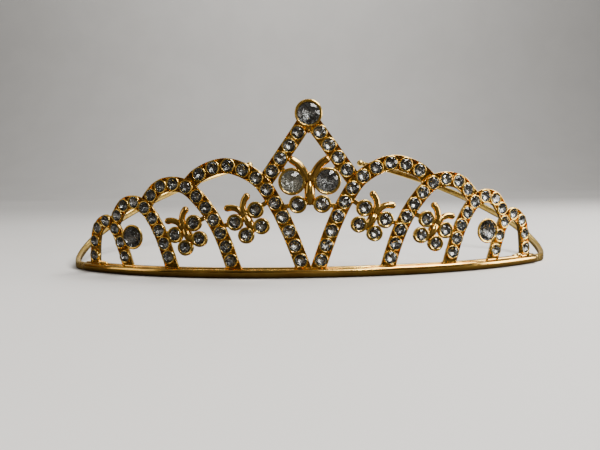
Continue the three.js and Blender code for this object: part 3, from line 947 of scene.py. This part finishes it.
def make_headband():
    start = bend([(LEG_START, 0, 0)])[0]
    plan = [(start[0], start[1])] + LEG_PLAN
    leg = Path([(x, y, LEG_HEIGHT / 2 + leg_rise(y)) for x, y in plan])
    root = bend([(BAR_HALF_LENGTH - 0.4, 0, LEG_HEIGHT / 2)])[0]
    section = rounded([
        (-LEG_THICKNESS / 2, -LEG_HEIGHT / 2, 0.5), (LEG_THICKNESS / 2, -LEG_HEIGHT / 2, 0.5),
        (LEG_THICKNESS / 2, LEG_HEIGHT / 2, 0.5), (-LEG_THICKNESS / 2, LEG_HEIGHT / 2, 0.5)], 4)
    up = np.array((0, 0, 1.0))
    middles = [root] + [leg.at(leg.length * k / LEG_STEPS) for k in range(LEG_STEPS + 1)]
    ways = [leg.along(0)] + [leg.along(leg.length * k / LEG_STEPS) for k in range(LEG_STEPS + 1)]
    rings = []
    for middle, along in zip(middles, ways):
        outward = np.cross(along, up)
        outward /= np.linalg.norm(outward)
        upward = np.cross(outward, along)
        rings.append(np.array([middle + outward * a + upward * b for a, b in section]))
    wire = rings_shape(rings)
    end, way = leg.at(leg.length), leg.along(leg.length)
    centre = end + way * (TIP_RADIUS + TIP_GAP)
    tip = ball(*centre, (TIP_RADIUS,) * 3, 32)
    collar = [end + way * reach for reach in (-0.9, -0.7, 0.1, 0.6)]
    widths = (1.02, 1.16, 1.22, 1.1)
    side = np.cross(way, up)
    side /= np.linalg.norm(side)
    over = np.cross(side, way)
    collar_rings = []
    turns = np.linspace(0, 2 * math.pi, 24, endpoint=False)
    for middle, width in zip(collar, widths):
        ring = [middle + width * (side * math.cos(t) * 0.92 + over * math.sin(t)) for t in turns]
        collar_rings.append(np.array(ring))
    tip.join(rings_shape(collar_rings))

    bar_end = bend([(BAR_HALF_LENGTH + 0.3, 0, 0)])[0]
    way_out = leg.along(0.0)
    turn = math.atan2(way_out[1], way_out[0])
    spin = np.array([[math.cos(turn), -math.sin(turn), 0], [math.sin(turn), math.cos(turn), 0], [0, 0, 1]])

    def on_end(points):
        return points @ spin.T + (bar_end[0], bar_end[1], LUG_HEIGHT)

    lug = ball(0, 0, 0, (1.9, 1.25, 1.2), 28).moved(on_end)
    lug.join(ball(-1.7, 0.75, 0.1, (1.5, 0.75, 0.95), 20).moved(on_end))
    lug.join(ball(1.5, 0.1, -0.05, (1.1, 0.95, 1.1), 20).moved(on_end))
    bead = bend([(BEAD_RUN, -0.1, BAR_HEIGHT + 0.1)])[0]
    lug.join(ball(*bead, (1.15, 0.7, 0.55), 16))
    lug.join(ball(bead[0] - 1.0, bead[1] - 0.1, bead[2] - 0.1, (0.8, 0.6, 0.4), 14))

    for side_name, sign in SIDES.items():
        flip = (lambda s: s) if sign > 0 else (lambda s: s.mirrored())
        body = f"{side_name}_leg"
        spring = to_object(f"headband_{side_name}_wire", flip(wire), [GOLD_WIRE], bent=False)
        lumpy(spring, 0.02, 6.0, 2)
        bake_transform(spring)
        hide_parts(f"headband_{side_name}")
        knob = to_object(f"tip_{side_name}_ball", flip(tip), [GOLD_WIRE], bent=False)
        finish_piece(knob, body, "gold_wire", f"tip_ball_{side_name}")
        blob = to_object(f"lug_{side_name}_solder", flip(fused(lug, 0.11, 6, 0.6)), [SOLDER], bent=False)
        lumpy(blob, 0.12, 1.3, 6)
        finish_piece(blob, "face", "solder", f"lug_{side_name}")


# ---- floor, light and camera ----------------------------------------------------------------
def stage_material(name, color, roughness):
    n = Nodes(name)
    tone = n.mix(n.spread(n.noise(6.0, 3.0), 0.0, 1.0, 0.4, 0.6), color, tuple(c * 0.97 for c in color))
    n.link(tone, n.shader.inputs["Base Color"])
    n.shader.inputs["Roughness"].default_value = roughness
    return n.material


def card_material(name, patch):
    """Mostly dark, with dim patches, as a room is behind whoever looks."""
    n = Nodes(name)
    patches = n.ramp(n.noise(7.0, 2.0), (0.45, (0.018, 0.014, 0.010)), (0.62, patch))
    n.link(patches, n.shader.inputs["Base Color"])
    n.shader.inputs["Roughness"].default_value = 0.9
    return n.material


def plane(name, corners, material):
    mesh = bpy.data.meshes.new(name)
    mesh.from_pydata(corners, [], [(0, 1, 2, 3)])
    mesh.materials.append(material)
    obj = bpy.data.objects.new(name, mesh)
    bpy.context.scene.collection.objects.link(obj)
    return obj


def area_light(name, place, aim, size, energy, color=(1, 1, 1)):
    light = bpy.data.lights.new(name, "AREA")
    light.shape = "RECTANGLE"
    light.size, light.size_y = size
    light.energy = energy
    light.color = color
    obj = bpy.data.objects.new(name, light)
    obj.location = place
    obj.rotation_euler = (Vector(aim) - Vector(place)).to_track_quat("-Z", "Y").to_euler()
    bpy.context.scene.collection.objects.link(obj)


def make_backdrop(material):
    """A pale floor that curves up into a wall well behind the tiara."""
    far, radius, top, half = 1.8, 0.9, 3.2, 4.0
    profile = [(-4.0, 0.0), (-1.0, 0.0), (far, 0.0)]
    for turn in np.linspace(0, math.pi / 2, 24)[1:]:
        profile.append((far + radius * math.sin(turn), radius * (1 - math.cos(turn))))
    profile.append((far + radius, top))
    points = [(x, y, z) for y, z in profile for x in (-half, half)]
    faces = [(2 * k, 2 * k + 1, 2 * k + 3, 2 * k + 2) for k in range(len(profile) - 1)]
    mesh = bpy.data.meshes.new("backdrop")
    mesh.from_pydata(points, [], faces)
    mesh.materials.append(material)
    mesh.polygons.foreach_set("use_smooth", [True] * len(faces))
    obj = bpy.data.objects.new("backdrop", mesh)
    obj.location.z = -0.0001
    bpy.context.scene.collection.objects.link(obj)


def make_card(name, corners, material):
    """A dark card that only reflections see, so that polished gold has something dark to show."""
    card = plane(name, corners, material)
    card.visible_camera = False
    card.visible_shadow = False
    card.visible_diffuse = False


CARD_LIFT = -0.00005


def make_stage():
    make_backdrop(stage_material("floor_pale", (0.72, 0.705, 0.685), 0.75))
    dim = card_material("card_dim", (0.17, 0.14, 0.11))
    dark = card_material("card_dark", (0.035, 0.028, 0.020))
    warm = card_material("card_warm", (0.22, 0.11, 0.05))
    make_card("card_front", [(-0.8, -0.5, 0), (0.8, -0.5, 0), (0.8, -0.36, 0.75), (-0.8, -0.36, 0.75)], dim)
    make_card("card_floor", [(-0.8, -0.5, CARD_LIFT), (0.8, -0.5, CARD_LIFT), (0.8, 0.10, CARD_LIFT),
                             (-0.8, 0.10, CARD_LIFT)], dark)
    for side, sign in SIDES.items():
        make_card(f"card_{side}", [(sign * 0.8, -0.22, 0), (sign * 0.8, 0.2, 0), (sign * 0.8, 0.2, 0.45),
                                   (sign * 0.8, -0.22, 0.45)], warm)

    world = bpy.data.worlds.new("studio")
    bpy.context.scene.world = world
    world.use_nodes = True
    background = world.node_tree.nodes["Background"]
    background.inputs["Color"].default_value = (0.80, 0.79, 0.77, 1)
    background.inputs["Strength"].default_value = 0.26

    area_light("key", (0.28, 0.04, 0.50), (0, 0.02, 0.02), (0.40, 0.28), 5.0, (1.0, 0.98, 0.95))
    area_light("wall", (0, 1.1, 1.9), (0, 2.7, 0.45), (1.6, 0.6), 30.0, (1.0, 0.985, 0.96))
    area_light("side_left", (-0.42, -0.16, 0.14), (0, 0.01, 0.02), (0.16, 0.26), 0.18, (1.0, 0.90, 0.80))
    area_light("side_right", (0.46, -0.07, 0.10), (0, 0.01, 0.02), (0.22, 0.20), 1.5, (1.0, 0.96, 0.90))
    area_light("strip", (0.16, -0.12, 0.30), (0.02, 0, 0.02), (0.36, 0.03), 0.6, (1.0, 0.96, 0.90))
    area_light("glint", (0.12, -0.30, 0.22), (0, 0, 0.02), (0.03, 0.03), 0.25)


def make_camera():
    camera = bpy.data.cameras.new("camera")
    camera.sensor_width = 36.0
    camera.lens = 27.6
    camera.clip_start = 0.005
    camera.clip_end = 50.0
    obj = bpy.data.objects.new("camera", camera)
    pan, down, roll = math.radians(0.15), math.radians(4.29), math.radians(-1.04)
    aim = Matrix.Rotation(pan, 4, "Z") @ Matrix.Rotation(math.pi / 2 - down, 4, "X")
    aim = aim @ Matrix.Rotation(roll, 4, "Z")
    obj.matrix_world = Matrix.Translation((-0.00223, -0.1132, 0.0216)) @ aim
    bpy.context.scene.collection.objects.link(obj)
    bpy.context.scene.camera = obj


make_camera()
make_stage()
make_bar()
make_arches()
make_peak()
make_butterflies()
make_drops()
make_headband()
